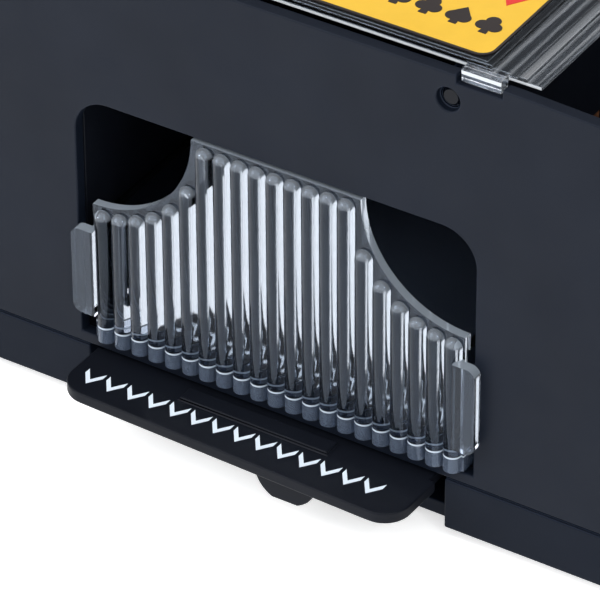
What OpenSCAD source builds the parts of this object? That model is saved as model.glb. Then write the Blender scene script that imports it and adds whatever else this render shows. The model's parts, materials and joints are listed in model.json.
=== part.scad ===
// Automatic card shuffler. Millimetres, +Z up, front faces -Y.
// Origin: middle of the footprint (lever included), on the surface that the feet stand on.
// Inside seat(), y = 0 is the front wall's outer face and z = 0 is the base's bottom edge.

/* [Housing] */
// Height of the upper housing, from the seam to its rim
case_h = 73.5; // [72:0.5:90]
// Height of the base shell, from its bottom edge to the seam
base_h = 9.8; // [9.6:0.1:12]
// Thickness of the outer walls
wall = 2.2; // [1.8:0.1:2.8]
// Radius of the housing's upright corners
corner_r = 6; // [4:0.5:9]
// Slope of the rim over the card bays, in degrees
rim_slope = 2.3; // [0:0.1:3]
// Height and width of the shadow groove along the seam
seam = 0.5; // [0.3:0.1:0.8]
// Thickness of the base floor
base_floor = 2.6; // [2.4:0.1:3]

/* [Feet and screws] */
// How far the rubber feet stand below the base
foot_h = 2.2; // [1.6:0.1:4]
// Radius of a foot
foot_r = 5.5; // [4:0.5:7]
// Radius of a housing screw's shank
screw_r = 1.4; // [1.2:0.1:1.6]
// Radius of a housing screw's head
screw_head_r = 2.7; // [2.4:0.1:3.2]
// Distance of the screws and feet from the end walls
screw_inset = 9; // [8:0.5:12]

/* [Cards and bays] */
// Width of each card bay, from the chamber's plate to the end wall
bay_w = 66.7; // [66.2:0.1:84]
// Depth of each card bay, from the front wall to the channel
bay_d = 90; // [89.5:0.5:110]
// Height of the bay floor's top above the base's bottom edge
bay_floor_z = 58; // [57:0.5:62]
// Thickness of the bay floor
bay_floor_t = 2; // [1.6:0.1:2.4]
// Height of the card slot over the bay floor
slot_h = 3.2; // [2.6:0.1:3.6]
// Thickness of the two plates beside the chamber
plate_t = 2.2; // [1.6:0.1:2.6]
// Width of the gear channel behind the bays
channel_w = 7.6; // [7.4:0.1:9]
// Thickness of the channel's front wall
channel_wall = 2; // [1.6:0.1:2.6]

/* [Front opening] */
// Spare width of the tray opening on each side of the tray
opening_gap = 2.2; // [1.8:0.1:2.6]
// Height of the opening's sill
opening_sill = 11.7; // [11.6:0.1:14]
// Height of the opening's top edge
opening_top = 56.1; // [54:0.1:57]
// Radius of the opening's top corners
opening_r = 6; // [2:0.5:9]

/* [Card tray] */
// Outer width of the tray
tray_w = 66.9; // [66.5:0.1:82]
// How far the tray sits to the right of the middle
tray_x = 0.6; // [0:0.1:1.4]
// Thickness of the tray's walls
tray_t = 1.5; // [1.2:0.1:1.6]
// Thickness of the tray's floor
tray_floor = 2; // [1.5:0.1:2.5]
// Height of the tray's side walls above the base's bottom edge
tray_wall_z = 34; // [28:0.5:40]
// Distance of the ribbed front's top edge from the opening's top edge
tray_top_gap = 0.6; // [0.4:0.1:4]
// Radius of the two round notches in the front
notch_r = 18.4; // [14:0.1:20]
// Number of upright ribs on the front
rib_n = 21; // [11:2:21]
// Distance of the outer ribs from the tray's sides
rib_margin = 0.45; // [0.1:0.05:0.6]
// Radius of a rib
rib_r = 1.5; // [1.2:0.05:1.5]
// Distance from a rib's domed top to the edge above it
rib_top_gap = 0.6; // [0.6:0.1:3]
// Height of the finger ears' lower edge
ear_z = 17.2; // [15:0.1:20]
// Length of the finger ears
ear_h = 15.9; // [12:0.1:17]
// Thickness of the finger ears
ear_t = 1.8; // [1.5:0.1:2.2]
// How far an ear stands out past the tray's side
ear_out = 2.9; // [2.6:0.1:3.4]
// Corner radius of an ear
ear_r = 1.6; // [1:0.1:2]

/* [Top cover] */
// Thickness of the cover's raised plate
cover_t = 1.2; // [1.2:0.1:2]
// Height of the step up to the raised plate
cover_step = 0.2; // [0.2:0.1:2]
// How far the raised plate reaches past the tray opening on each side
cover_over = 0.65; // [0.4:0.05:1.5]
// Width of the flange beside the raised plate
cover_flange = 5.9; // [5:0.1:8]
// Width of the thin lip beside each flange
cover_lip = 2.4; // [2:0.1:4]
// Width of the two notches in the rim that hold the cover's lugs
rim_notch_w = 7.7; // [5:0.1:8]
// Depth of the two notches
rim_notch_h = 1.5; // [1.2:0.1:1.8]
// Distance from the front wall's face to the cover's front edge
cover_front = 2.5; // [2.4:0.1:3]
// Thickness of the label
label_t = 0.2; // [0.1:0.05:0.3]
// Margin between the label and the plate's edges
label_margin = 1.4; // [1:0.1:6]
// Corner radius of the label
label_r = 2.5; // [1:0.5:4]

/* [Guide flaps] */
// Distance of the flap pins from the chamber's sides
flap_inset = 5.2; // [4.8:0.1:7]
// Depth of the flap pins below the rim
flap_drop = 4.7; // [4.5:0.1:6]
// Radius of a flap pin
flap_pin_r = 1.6; // [1.2:0.1:1.7]
// Radius of the round hole in the front wall
flap_hole_r = 2; // [1.9:0.1:2.4]
// Length of a flap below its pin
flap_l = 21; // [16:0.5:23]

/* [Lever] */
// Width of the lever
lever_w = 63; // [56:0.5:64]
// Offset of the lever from the middle
lever_x = -1.8; // [-2:0.1:0]
// Thickness of the lever
lever_t = 2; // [1.6:0.1:2.2]
// Height of the lever's underside
lever_z = 7; // [6.8:0.1:7.2]
// How far the lever stands out of the front wall
lever_out = 11.7; // [8:0.1:16]
// Angle that the lever's blade sits askew, in degrees
lever_skew = 1.7; // [0:0.1:2]
// Corner radius of the lever
lever_r = 4.6; // [2:0.1:6]
// Distance from the front wall's face back to the lever's pivot
pivot_y = 30; // [26:0.5:40]
// Radius of the lever's pivot pin
pivot_r = 1.5; // [1.2:0.1:1.7]
// Distance of the stop lug from the middle
lug_x = 8.3; // [-10:0.1:12]

/* [Drive] */
// Radius of the feed rollers' tyres
tyre_r = 9; // [8:0.1:9.5]
// How far the tyres stand above the bay floor
tyre_proud = 1.2; // [0.8:0.1:1.6]
// Width of each tyre
tyre_w = 12; // [8:0.5:16]
// Radius of a roller's shaft
shaft_r = 2; // [1.8:0.1:2.5]
// Module of the gears
gear_m = 0.8; // [0.75:0.05:0.85]
// Thickness of each gear
gear_t = 2.5; // [2:0.1:2.8]
// Teeth on the roller's gear
roller_teeth = 30; // [28:1:32]
// Teeth on the compound gear's small wheel
small_teeth = 12; // [12:1:14]
// Teeth on the compound gear's large wheel
large_teeth = 40; // [38:1:42]
// Teeth on the motor's pinion
pinion_teeth = 10; // [10:1:12]
// Direction from the roller to the compound gear, in degrees
train_angle = -30; // [-35:1:-28]
// Radius of the compound gears' axles
axle_r = 1.2; // [1:0.1:1.4]
// Width of a motor's can
motor_w = 20; // [18:0.1:21]
// Height of a motor's can
motor_h = 15.1; // [14:0.1:16]
// Length of a motor's can
motor_l = 25; // [22:0.5:30]
// Radius of a motor's shaft
motor_shaft_r = 1; // [0.9:0.1:1.2]

/* [Batteries] */
// Diameter of a cell
cell_d = 14.5; // [14:0.1:14.6]
// Length of a cell
cell_l = 50.5; // [49:0.1:51]
// Gap between neighbouring cells
cell_gap = 0.3; // [0.2:0.1:0.5]
// Length of a fitted contact spring
cell_spring_l = 5.7; // [4.7:0.1:8]
// Distance from the front wall's face to the compartment
batt_y = 21.6; // [20:0.1:24]
// Thickness of the compartment's walls
batt_wall = 1.6; // [1.2:0.1:1.8]

/* [Wires] */
// Radius of a wire
wire_r = 0.7; // [0.5:0.1:0.7]
// Gap between a wire's end and what it is joined to
wire_end_gap = 0.1; // [0.05:0.05:0.2]

/* [Clearances] */
// Gap between pieces that slide or lift
slide_gap = 0.3; // [0.3:0.05:0.4]
// Radial gap of a pin or shaft in its bore
run_gap = 0.05; // [0.02:0.01:0.09]
// Extra distance between meshed gears
mesh_gap = 0.08; // [0.05:0.01:0.15]
// Thinning of each gear tooth
backlash = 0.14; // [0.1:0.01:0.2]

/* [Hidden] */
$fn = 64;
eps = 0.01;

// Colours
charcoal = [0.19, 0.20, 0.235];
near_black = [0.14, 0.145, 0.17];
clear = [0.85, 0.9, 0.95, 0.4];
steel = [0.72, 0.73, 0.75];
brass = [0.83, 0.66, 0.32];
nylon = [0.92, 0.91, 0.86];
red = [0.65, 0.06, 0.06];
black = [0.06, 0.06, 0.065];

// Widths, heights and depths of the housing
opening_w = tray_w + 2 * opening_gap;
plate_in = opening_w / 2 + 0.25;
plate_out = plate_in + plate_t;
bay_x1 = plate_out + bay_w;
body_w = 2 * (bay_x1 + wall);
bay_mid_x = (plate_out + bay_x1) / 2;
bay_y0 = wall;
bay_y1 = bay_y0 + bay_d;
bay_mid_y = (bay_y0 + bay_y1) / 2;
channel_y0 = bay_y1 + channel_wall;
channel_y1 = channel_y0 + channel_w;
body_d = channel_y1 + wall;
rim_z = base_h + case_h;
bay_under_z = bay_floor_z - bay_floor_t;
cap_t = 1.6;
cap_z = rim_z - 4.3;
rim_notch_x = [opening_w / 2 - rim_notch_w / 2, opening_w / 2 + rim_notch_w / 2];

// Cover
cover_z = rim_z + slide_gap;
cover_back = bay_y1 - 0.2;
cover_plate_w = opening_w + 2 * cover_over;
cover_w = cover_plate_w + 2 * cover_flange;
cover_lip_w = cover_w + 2 * cover_lip;
cover_lug_x = [rim_notch_x[0] + 0.5, rim_notch_x[1] - 0.4];
rim_start = cover_w / 2 - 0.6;

// Tray
tray_z = opening_sill + slide_gap;
tray_half = tray_w / 2;
tray_l = bay_y1 - 1.2;
tray_front_z = opening_top - tray_top_gap;
rib_pitch = (tray_w - 2 * (rib_margin + rib_r)) / (rib_n - 1);

// Lever
blade_half = lever_w / 2;
lever_reach = (blade_half - lever_r) * sin(lever_skew) + (lever_out - lever_r) * cos(lever_skew) + lever_r;
lever_top = lever_z + lever_t;
pivot_z = lever_z - 1.2;
hub_r = pivot_r + 1.1;
hub_l = 7;
spring_x = lever_x - 14;
spring_y = wall + 7;
spring_r = 3;
spring_wire = 0.35;
switch_x = lever_x + 20;
switch_y = wall + 10;
leaf_t = 0.3;
leaf_w = 5;
leaf_tail = 6.5;
fixed_leaf_z = 0.5;
moving_leaf_z = 1.5;

// Place of the front wall in the part's frame
wall_y = (lever_reach - body_d) / 2;

// Drive
roller_x = plate_out + tyre_r + 3;
roller_z = bay_floor_z + tyre_proud - tyre_r;
tyre_y = [bay_mid_y - 21, bay_mid_y + 21];
near_y = channel_y0 + 0.5;
far_y = near_y + gear_t + 0.7;
near_dist = (roller_teeth + small_teeth) / 2 * gear_m + mesh_gap;
far_dist = (large_teeth + pinion_teeth) / 2 * gear_m + mesh_gap;
comp_x = roller_x + near_dist * cos(train_angle);
comp_z = roller_z + near_dist * sin(train_angle);
motor_z = bay_under_z - motor_h / 2 - 0.4;
motor_x = comp_x + sqrt(pow(far_dist, 2) - pow(motor_z - comp_z, 2));
motor_angle = asin((motor_z - comp_z) / far_dist);
motor_y1 = bay_y1;
motor_y0 = motor_y1 - motor_l;
motor_nose_r = 3;
strap_t = 1;
strap_w = 9;
strap_y = motor_y0 + 8;
strap_ear = 6;
strap_out = motor_w / 2 + strap_t;
bush_r = shaft_r + 1.6;
bush_l = 5;
window_half = sqrt(pow(tyre_r, 2) - pow(bay_under_z - roller_z, 2)) + 1.6;

// Screws and feet, which stand clear of the motors
boss_r = screw_head_r + 1.8;
post_r = screw_r + 2.1;
screw_x = max(body_w / 2 - screw_inset, motor_x + motor_w / 2 + post_r + slide_gap);
screw_y0 = wall + 7.8;
screw_y1 = bay_y1 - 2.2;
foot_x = screw_x - 14;

// Battery compartment
cell_n = 4;
cell_pitch = cell_d + cell_gap;
contact_t = 0.4;
batt_l = cell_l + 2 * contact_t + cell_spring_l;
batt_in_w = cell_n * cell_pitch + 1.2;
batt_x0 = bay_mid_x - batt_in_w / 2;
batt_y1 = batt_y + batt_l;
door_t = 1.6;
groove = 1.2;
batt_roof_z = door_t + slide_gap + cell_d + 0.8;
cell_z = door_t + slide_gap + 0.1 + cell_d / 2;
nub_l = 1.2;

// Notches in the base ribs that the wires pass through
wire_front_y = wall + 15.4;
wire_back_y = bay_y1 - 5.2;
wire_notch_half = 2.8;

// Ends of the wires at the switch and at the motors
tail_y = switch_y + leaf_tail;
tail_z = base_floor + fixed_leaf_z + leaf_t / 2 + 0.1;
end_y = motor_y0 - wire_end_gap;

// Flaps
flap_hub_r = flap_pin_r + 1.5;
flap_t = 1.5;
flap_x = opening_w / 2 - flap_inset;
flap_z = rim_z - flap_drop;
flap_y0 = bay_y0 + 3;
flap_y1 = bay_y1 - 3;

module seat() { translate([0, wall_y, foot_h]) children(); }
module side(s) { mirror([s < 0 ? 1 : 0, 0, 0]) children(); }
// A rod along Y
module rod_y(r, y0, y1) { translate([0, y0, 0]) rotate([-90, 0, 0]) cylinder(r = r, h = y1 - y0); }
module rod_x(r, x0, x1) { translate([x0, 0, 0]) rotate([0, 90, 0]) cylinder(r = r, h = x1 - x0); }
module span(lo, hi) { translate(lo) cube(hi - lo); }
module upright(inset, z0, z1) {
    r = max(corner_r - inset, 0.5);
    translate([0, 0, z0]) linear_extrude(z1 - z0)
        translate([-body_w / 2 + inset, inset])
            rounded(body_w - 2 * inset, body_d - 2 * inset, r);
}
module rounded(w, d, r) {
    union() {
        translate([r, 0]) square([w - 2 * r, d]);
        translate([0, r]) square([w, d - 2 * r]);
        for (x = [r, w - r], y = [r, d - r]) translate([x, y]) circle(r = r);
    }
}

// ---- Housing ----
module opening_shape() {
    half = opening_w / 2;
    union() {
        translate([-half, opening_sill]) square([opening_w, opening_top - opening_r - opening_sill]);
        translate([-half + opening_r, opening_sill])
            square([opening_w - 2 * opening_r, opening_top - opening_sill]);
        for (s = [-1, 1]) translate([s * (half - opening_r), opening_top - opening_r])
            circle(r = opening_r);
    }
}
// Through the wall from y0 to y1, for a shape drawn in x and z
module through(y0, y1) { translate([0, y1, 0]) rotate([90, 0, 0]) linear_extrude(y1 - y0) children(); }

module rim_cut(s) {
    side(s) translate([rim_start, -1, rim_z]) rotate([0, rim_slope, 0]) cube([body_w, body_d + 2, 20]);
}
module screw_places() {
    for (s = [-1, 1], y = [screw_y0, screw_y1]) translate([s * screw_x, y, 0]) children();
}
module upper_housing() {
    color(charcoal) seat() difference() {
        union() {
            difference() {
                upright(0, base_h, rim_z);
                upright(wall, base_h - 1, rim_z + 1);
            }
            span([-bay_x1, channel_y1 - 1.2, cap_z - 1.2], [bay_x1, channel_y1 + eps, cap_z]);
            for (s = [-1, 1]) translate([s * roller_x, 0, roller_z])
                rod_y(bush_r + 1.6, bay_y0 - eps, bay_y0 + bush_l - 0.4);
            for (s = [-1, 1]) translate([s * flap_x, 0, flap_z])
                rod_y(flap_pin_r + 1.4, wall - eps, wall + 1.6);
        }
        through(-1, wall + 1) opening_shape();
        for (s = [-1, 1]) {
            rim_cut(s);
            translate([s * roller_x, 0, roller_z]) rod_y(bush_r, bay_y0, bay_y0 + 20);
            translate([s * flap_x, 0, flap_z]) {
                rod_y(flap_hole_r, -1, wall * 0.55);
                rod_y(flap_pin_r, -1, wall + 2);
            }
            side(s) span([rim_notch_x[0], -1, rim_z - rim_notch_h], [rim_notch_x[1], wall + 1, rim_z + 1]);
        }
    }
}
// Floor of a card bay, with the posts that the housing screws go into
module bay_floor(s) {
    color(charcoal) seat() side(s) difference() {
        union() {
            intersection() {
                span([plate_out, bay_y0, bay_under_z], [bay_x1, bay_y1, bay_floor_z]);
                upright(wall, base_h, rim_z);
            }
            for (y = [screw_y0, screw_y1]) translate([screw_x, y, base_h]) intersection() {
                cylinder(r = post_r, h = bay_under_z - base_h + eps);
                span([-post_r, bay_y0 - y, 0], [post_r, bay_y1 - y, bay_floor_z]);
            }
        }
        for (y = tyre_y) span([roller_x - window_half, y - tyre_w / 2 - 1, bay_under_z - 1],
            [roller_x + window_half, y + tyre_w / 2 + 1, bay_floor_z + 1]);
        for (y = [screw_y0, screw_y1]) translate([screw_x, y, base_h]) cylinder(r = screw_r, h = 14);
        for (x = strap_holes()) translate([x, strap_y + strap_w / 2, bay_under_z - 1])
            cylinder(r = 1, h = bay_floor_t - 0.4 + 1);
    }
}
// Wall between the bays and the gear channel, which carries the gears and motors
module gear_bulkhead() {
    color(charcoal) seat() difference() {
        union() {
            span([-bay_x1, bay_y1, base_h], [bay_x1, channel_y0, cap_z]);
            span([-plate_out, bay_y1, cap_z - eps], [plate_out, channel_y0, rim_z - 0.1]);
        }
        for (s = [-1, 1]) {
            translate([s * roller_x, 0, roller_z]) rod_y(bush_r, bay_y1 - 1, channel_y0 + 1);
            translate([s * comp_x, 0, comp_z]) rod_y(axle_r, bay_y1 - 1, channel_y0 + 1);
            translate([s * motor_x, 0, motor_z]) rod_y(motor_nose_r + 0.1, bay_y1 - 1, channel_y0 + 1);
            translate([s * flap_x, 0, flap_z]) rod_y(flap_pin_r, bay_y1 - 1, channel_y0 + 1);
        }
    }
}

// ---- Base ----
module door_shape(gap) {
    x0 = batt_x0 - 1 - gap;
    past = gap > 0 ? 1 : 0;
    union() {
        span([x0, batt_y - gap, -past], [body_w / 2 + past, batt_y1 + gap, door_t + gap]);
        span([x0, batt_y - groove - gap, 0.6 - gap],
            [body_w / 2 + past, batt_y1 + groove + gap, door_t + gap]);
    }
}
module base_shell() {
    cut0 = lever_x - blade_half - 1;
    cut1 = lever_x + blade_half + 1;
    color([0.17, 0.18, 0.21]) seat() difference() {
        union() {
            difference() {
                union() {
                    upright(0, 0, base_h - seam);
                    upright(seam, base_h - seam - eps, base_h);
                }
                upright(wall, base_floor, base_h + 1);
            }
            screw_places() translate([0, 0, base_floor - eps])
                cylinder(r = boss_r, h = base_h - base_floor + eps);
            for (s = [-1, 1]) side(s)
                span([plate_in, wall + 2, base_floor - eps], [plate_out, bay_y1 - 1, base_h]);
            span([batt_x0 - batt_wall, batt_y - batt_wall, base_floor - eps],
                [batt_x0 + batt_in_w + batt_wall, batt_y1 + batt_wall, batt_roof_z + batt_wall]);
            translate([spring_x, spring_y, base_floor - eps]) cylinder(r = spring_r - 0.8, h = 1.2);
        }
        span([batt_x0, batt_y, door_t], [batt_x0 + batt_in_w, batt_y1, batt_roof_z]);
        door_shape(slide_gap);
        span([cut0, -1, -1], [cut1, wall + 0.1, base_h + 1]);
        screw_places() {
            translate([0, 0, -1]) cylinder(r = screw_r + 0.2, h = base_h + 6);
            translate([0, 0, -1]) cylinder(r = screw_head_r + 0.2, h = 3.4);
        }
        foot_places() translate([0, 0, -1]) cylinder(r = foot_r, h = 1.8);
        for (x = [cell_x(0), cell_x(cell_n - 1)]) translate([x, 0, cell_z])
            rod_y(wire_r + 0.4, batt_y - batt_wall - 1, batt_y + 0.1);
        for (s = [-1, 1], y = [wire_front_y, wire_back_y]) side(s)
            span([plate_in - 1, y - wire_notch_half, base_floor + 1],
                [plate_out + 1, y + wire_notch_half, base_h - 1.8]);
        translate([0, pivot_y, pivot_z]) rod_x(pivot_r, -plate_out - 1, plate_out + 1);
    }
}
module battery_door() {
    color([0.16, 0.17, 0.20]) seat() difference() {
        door_shape(0);
        for (i = [0:4]) translate([body_w / 2 - 9 + i * 1.4, (batt_y + batt_y1) / 2 - 8, -1])
            cube([0.7, 16, 1.4]);
    }
}
module base_screws() {
    color([0.6, 0.6, 0.62]) seat() screw_places() difference() {
        union() {
            translate([0, 0, 0.6]) cylinder(r = screw_head_r, h = 1.8);
            translate([0, 0, 0.7]) cylinder(r = screw_r, h = base_h + 9);
        }
        for (a = [0, 90]) rotate(a) translate([-1.6, -0.35, 0.5]) cube([3.2, 0.7, 1]);
    }
}
module foot_places() {
    for (s = [-1, 1], y = [screw_y0, body_d - screw_y0]) translate([s * foot_x, y, 0]) children();
}
module rubber_feet() {
    color([0.08, 0.08, 0.09]) seat() foot_places()
        translate([0, 0, -foot_h]) cylinder(r = foot_r, h = foot_h + 0.8);
}

// ---- Chassis around the chamber ----
module tray_deck() {
    color(near_black) seat() union() {
        span([-plate_out, wall + 0.3, base_h], [plate_out, bay_y1 - 0.3, opening_sill]);
        for (s = [-1, 1]) side(s)
            span([tray_half + s * tray_x + slide_gap + 0.1, wall + 4, opening_sill - eps],
                [plate_in - 0.1, bay_y1 - 6, opening_sill + 4]);
    }
}
module feed_plate(s) {
    color([0.15, 0.155, 0.18]) seat() side(s) difference() {
        span([plate_in, bay_y0 + 0.6, opening_sill], [plate_out, bay_y1 - 0.3, rim_z - 0.1]);
        span([plate_in - 1, bay_y0 + 3, bay_floor_z], [plate_out + 1, bay_y1 - 3, bay_floor_z + slot_h]);
    }
}
module feed_gate(s) {
    gate_h = slot_h - 1.4;
    color([0.35, 0.20, 0.12]) seat() side(s)
        for (y = tyre_y) span([plate_in + 0.2, y - tyre_w / 2, bay_floor_z + slot_h - gate_h],
            [plate_out - 0.2, y + tyre_w / 2, bay_floor_z + slot_h]);
}
module rear_cap() {
    rise_z = rim_z - 0.3;
    back_y = channel_y1 - slide_gap;
    color([0.18, 0.19, 0.225]) seat() intersection() {
        union() {
            span([-bay_x1, channel_y0 + 0.2, cap_z], [bay_x1, back_y, cap_z + cap_t]);
            for (s = [-1, 1]) side(s) span([plate_out + slide_gap, bay_y1 + 0.2, cap_z],
                [bay_x1, channel_y0 + 0.3, cap_z + cap_t]);
            span([-cover_lip_w / 2, channel_y0 + 0.2, cap_z + cap_t - eps],
                [cover_lip_w / 2, back_y, rise_z]);
        }
        upright(wall + slide_gap, base_h, rim_z + 1);
    }
}

// ---- Cover ----
module top_cover() {
    flange = 0.8;
    z1 = cover_z + cover_step;
    plate_half = cover_plate_w / 2;
    color(clear) seat() union() {
        span([-plate_half, cover_front, z1], [plate_half, cover_back, z1 + cover_t]);
        for (s = [-1, 1]) side(s) {
            span([plate_half - 1.6, cover_front, cover_z], [plate_half, cover_back, z1 + eps]);
            span([plate_half - eps, cover_front, cover_z], [cover_w / 2, cover_back, cover_z + flange]);
            span([cover_w / 2 - 1.7, cover_front, cover_z + flange - eps],
                [cover_w / 2, cover_back, cover_z + flange + 0.4]);
            span([cover_w / 2 - eps, cover_front, cover_z], [cover_lip_w / 2, cover_back, cover_z + 0.6]);
            span([plate_in - 1.9, bay_y0 + 8, cover_z - 3.2], [plate_in - 0.5, bay_y1 - 8, cover_z + eps]);
            span([cover_lug_x[0], 0.5, cover_z - rim_notch_h + 0.1],
                [cover_lug_x[1], cover_front, cover_z + flange]);
            span([cover_lug_x[0], cover_front, cover_z - eps],
                [cover_lug_x[1], cover_front + 1, cover_z + flange]);
        }
        for (y = [cover_front, cover_back - 1.5])
            span([-plate_half, y, cover_z], [plate_half, y + 1.5, z1 + eps]);
    }
}
module cover_label() {
    w = cover_plate_w - 2 * label_margin;
    d = cover_back - cover_front - 2 * label_margin;
    color([0.98, 0.80, 0.27]) seat()
        translate([-w / 2, cover_front + label_margin, cover_z + cover_step + cover_t])
            linear_extrude(label_t) rounded(w, d, label_r);
}

// ---- Card tray ----
module tray_front_shape() {
    difference() {
        translate([-tray_half, tray_z]) square([tray_w, tray_front_z - tray_z]);
        for (s = [-1, 1]) translate([s * tray_half, tray_front_z]) circle(r = notch_r);
    }
}
// Height of the front's outline at x
function front_top(x) =
    let (dx = tray_half - abs(x), reach = dx < notch_r)
    reach ? tray_front_z - sqrt(pow(notch_r, 2) - pow(dx, 2)) : tray_front_z;
module front_rib(x) {
    near = min(front_top(abs(x) - rib_r), front_top(abs(x)), front_top(abs(x) + rib_r - 0.3));
    top = near - rib_top_gap - rib_r;
    translate([x, 0, tray_z]) cylinder(r = rib_r, h = top - tray_z);
    translate([x, 0, top]) sphere(r = rib_r);
}
module ear() {
    x0 = tray_half - 1.1;
    x1 = tray_half + ear_out;
    y1 = -slide_gap;
    through(y1 - ear_t, y1) union() {
        translate([x0, ear_z]) square([x1 - ear_r - x0, ear_h]);
        translate([x0, ear_z + ear_r]) square([x1 - x0, ear_h - 2 * ear_r]);
        for (z = [ear_z + ear_r, ear_z + ear_h - ear_r]) translate([x1 - ear_r, z]) circle(r = ear_r);
    }
    span([x0, y1 - eps, ear_z], [tray_half, 0.5, ear_z + ear_h]);
}
module card_tray() {
    color(clear) seat() translate([tray_x, 0, 0]) union() {
        through(0, tray_t) tray_front_shape();
        intersection() {
            union() for (i = [0 : rib_n - 1]) front_rib((i - (rib_n - 1) / 2) * rib_pitch);
            span([-tray_half, -rib_r - 1, 0], [tray_half, 0.6, tray_front_z]);
        }
        span([-tray_half, 0, tray_z], [tray_half, tray_l, tray_z + tray_floor]);
        for (s = [-1, 1]) side(s) {
            span([tray_half - tray_t, 0.2, tray_z], [tray_half, tray_l, tray_wall_z]);
            ear();
        }
        span([-tray_half, tray_l - tray_t, tray_z], [tray_half, tray_l, tray_wall_z]);
    }
}

// ---- Guide flaps ----
module flap_pins() {
    dome = 0.9;
    color([0.75, 0.76, 0.78]) seat() for (s = [-1, 1]) translate([s * flap_x, 0, flap_z]) intersection() {
        rod_y(flap_pin_r, dome, channel_y0 - 0.2);
        translate([0, flap_pin_r + dome, 0]) union() {
            sphere(r = flap_pin_r + 0.4);
            rod_y(flap_pin_r + 1, 0, body_d);
        }
    }
}
module guide_flap(s) {
    color([0.13, 0.135, 0.16]) seat() side(s) translate([flap_x, 0, flap_z]) difference() {
        union() {
            rod_y(flap_hub_r, flap_y0, flap_y1);
            span([-flap_t / 2, flap_y0 + 2, -flap_l], [flap_t / 2, flap_y1 - 2, 0]);
        }
        rod_y(flap_pin_r + run_gap, flap_y0 - 1, flap_y1 + 1);
    }
}

// ---- Lever and switch ----
module press_lever() {
    back = pivot_y + 1.5;
    bar_x = lever_x - 10;
    color([0.10, 0.11, 0.14]) seat() difference() {
        union() {
            translate([lever_x, 0, lever_z]) {
                rotate([0, 0, -lever_skew]) linear_extrude(lever_t)
                    translate([-blade_half, -lever_out]) union() {
                        translate([lever_r, 0]) square([lever_w - 2 * lever_r, lever_out]);
                        translate([0, lever_r]) square([lever_w, lever_out - lever_r]);
                        for (x = [lever_r, lever_w - lever_r]) translate([x, lever_r]) circle(r = lever_r);
                    }
                span([-blade_half + 1, -3, 0], [blade_half - 1, back, lever_t]);
            }
            for (x = [lever_x - blade_half + 3, lever_x + blade_half - 3 - hub_l])
                translate([0, pivot_y, pivot_z]) rod_x(hub_r, x, x + hub_l);
            span([bar_x - 3, -4.2, lever_top - eps], [bar_x + 24, -1, lever_top + 0.6]);
            translate([lug_x, -lever_out + 1.4, lever_z + 0.5]) lug();
            translate([lever_x, -lever_out + 4, lever_z + eps]) mirror([0, 0, 1])
                translate([-blade_half + 7, 0, 0]) cube([lever_w - 14, 1, 0.8]);
        }
        translate([0, pivot_y, pivot_z]) rod_x(pivot_r + run_gap, -body_w / 2, body_w / 2);
    }
}
// Half-moon stop lug under the lever's front edge
module lug() {
    intersection() {
        rod_y(5.5, 0, 2);
        span([-6, -1, -5], [6, 3, 0]);
    }
}
module lever_pin() {
    color([0.7, 0.71, 0.73]) seat() translate([0, pivot_y, pivot_z])
        rod_x(pivot_r, -plate_out + 0.1, plate_out - 0.1);
}
// Round wire swept along a helix around +Z
module coil(r, wire, h, turns, per_turn = 14, sides = 6) {
    n = turns * per_turn;
    ring = [for (i = [0 : n], k = [0 : sides - 1])
        let (a = i / per_turn * 360, b = k / sides * 360, q = r + wire * cos(b))
        [q * cos(a), q * sin(a), h * i / n + wire * sin(b)]];
    faces = [for (i = [0 : n - 1], k = [0 : sides - 1])
        let (p = i * sides + k, q = i * sides + (k + 1) % sides)
        [p, q, q + sides, p + sides]];
    polyhedron(ring, concat([[for (k = [sides - 1 : -1 : 0]) k]], faces,
        [[for (k = [0 : sides - 1]) n * sides + k]]));
}
module lever_spring() {
    low = base_floor + spring_wire + 0.05;
    color([0.75, 0.76, 0.78]) seat() translate([spring_x, spring_y, low])
        coil(spring_r, spring_wire, lever_z - base_floor - 2 * spring_wire - 0.1, 4);
}
module switch_block() {
    color([0.12, 0.12, 0.13]) seat() translate([switch_x, switch_y, base_floor])
        difference() {
            span([-4, 0, 0], [4, 5, 2.3]);
            for (z = [fixed_leaf_z, moving_leaf_z])
                span([-leaf_w / 2, -1, z], [leaf_w / 2, 6, z + leaf_t]);
        }
}
module leaf(z, reach) {
    color(brass) seat() translate([switch_x - leaf_w / 2, switch_y - reach, base_floor + z])
        cube([leaf_w, reach + leaf_tail, leaf_t]);
}
module switch_fixed_leaf() { leaf(fixed_leaf_z, 5); }
module switch_moving_leaf() { leaf(moving_leaf_z, 7); }

// ---- Batteries ----
function cell_x(i) = batt_x0 + 0.6 + cell_pitch * (i + 0.5);
// Turned for every second cell, so that the cells lie head to tail
module cell_place(i) {
    translate([cell_x(i), batt_y + batt_l / 2, cell_z]) mirror([0, i % 2, 0])
        translate([0, -batt_l / 2, 0]) children();
}
module battery_cells() {
    color([0.25, 0.27, 0.30]) seat() for (i = [0 : cell_n - 1]) cell_place(i) union() {
        rod_y(2.75, contact_t + 0.02, contact_t + nub_l + 0.1);
        rod_y(cell_d / 2, contact_t + nub_l, contact_t + cell_l);
    }
}
module battery_contacts() {
    plate_h = 10;
    lo = cell_z - plate_h / 2;
    color([0.78, 0.78, 0.80]) seat() {
        for (i = [0, cell_n - 1]) translate([cell_x(i) - 5, batt_y, lo]) cube([10, contact_t, plate_h]);
        for (i = [1 : 2 : cell_n - 2]) translate([cell_x(i) - 5, batt_y, lo])
            cube([10 + cell_pitch, contact_t, plate_h]);
        for (i = [0 : 2 : cell_n - 1]) translate([cell_x(i) - 5, batt_y1 - contact_t, lo])
            cube([10 + cell_pitch, contact_t, plate_h]);
    }
}
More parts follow.
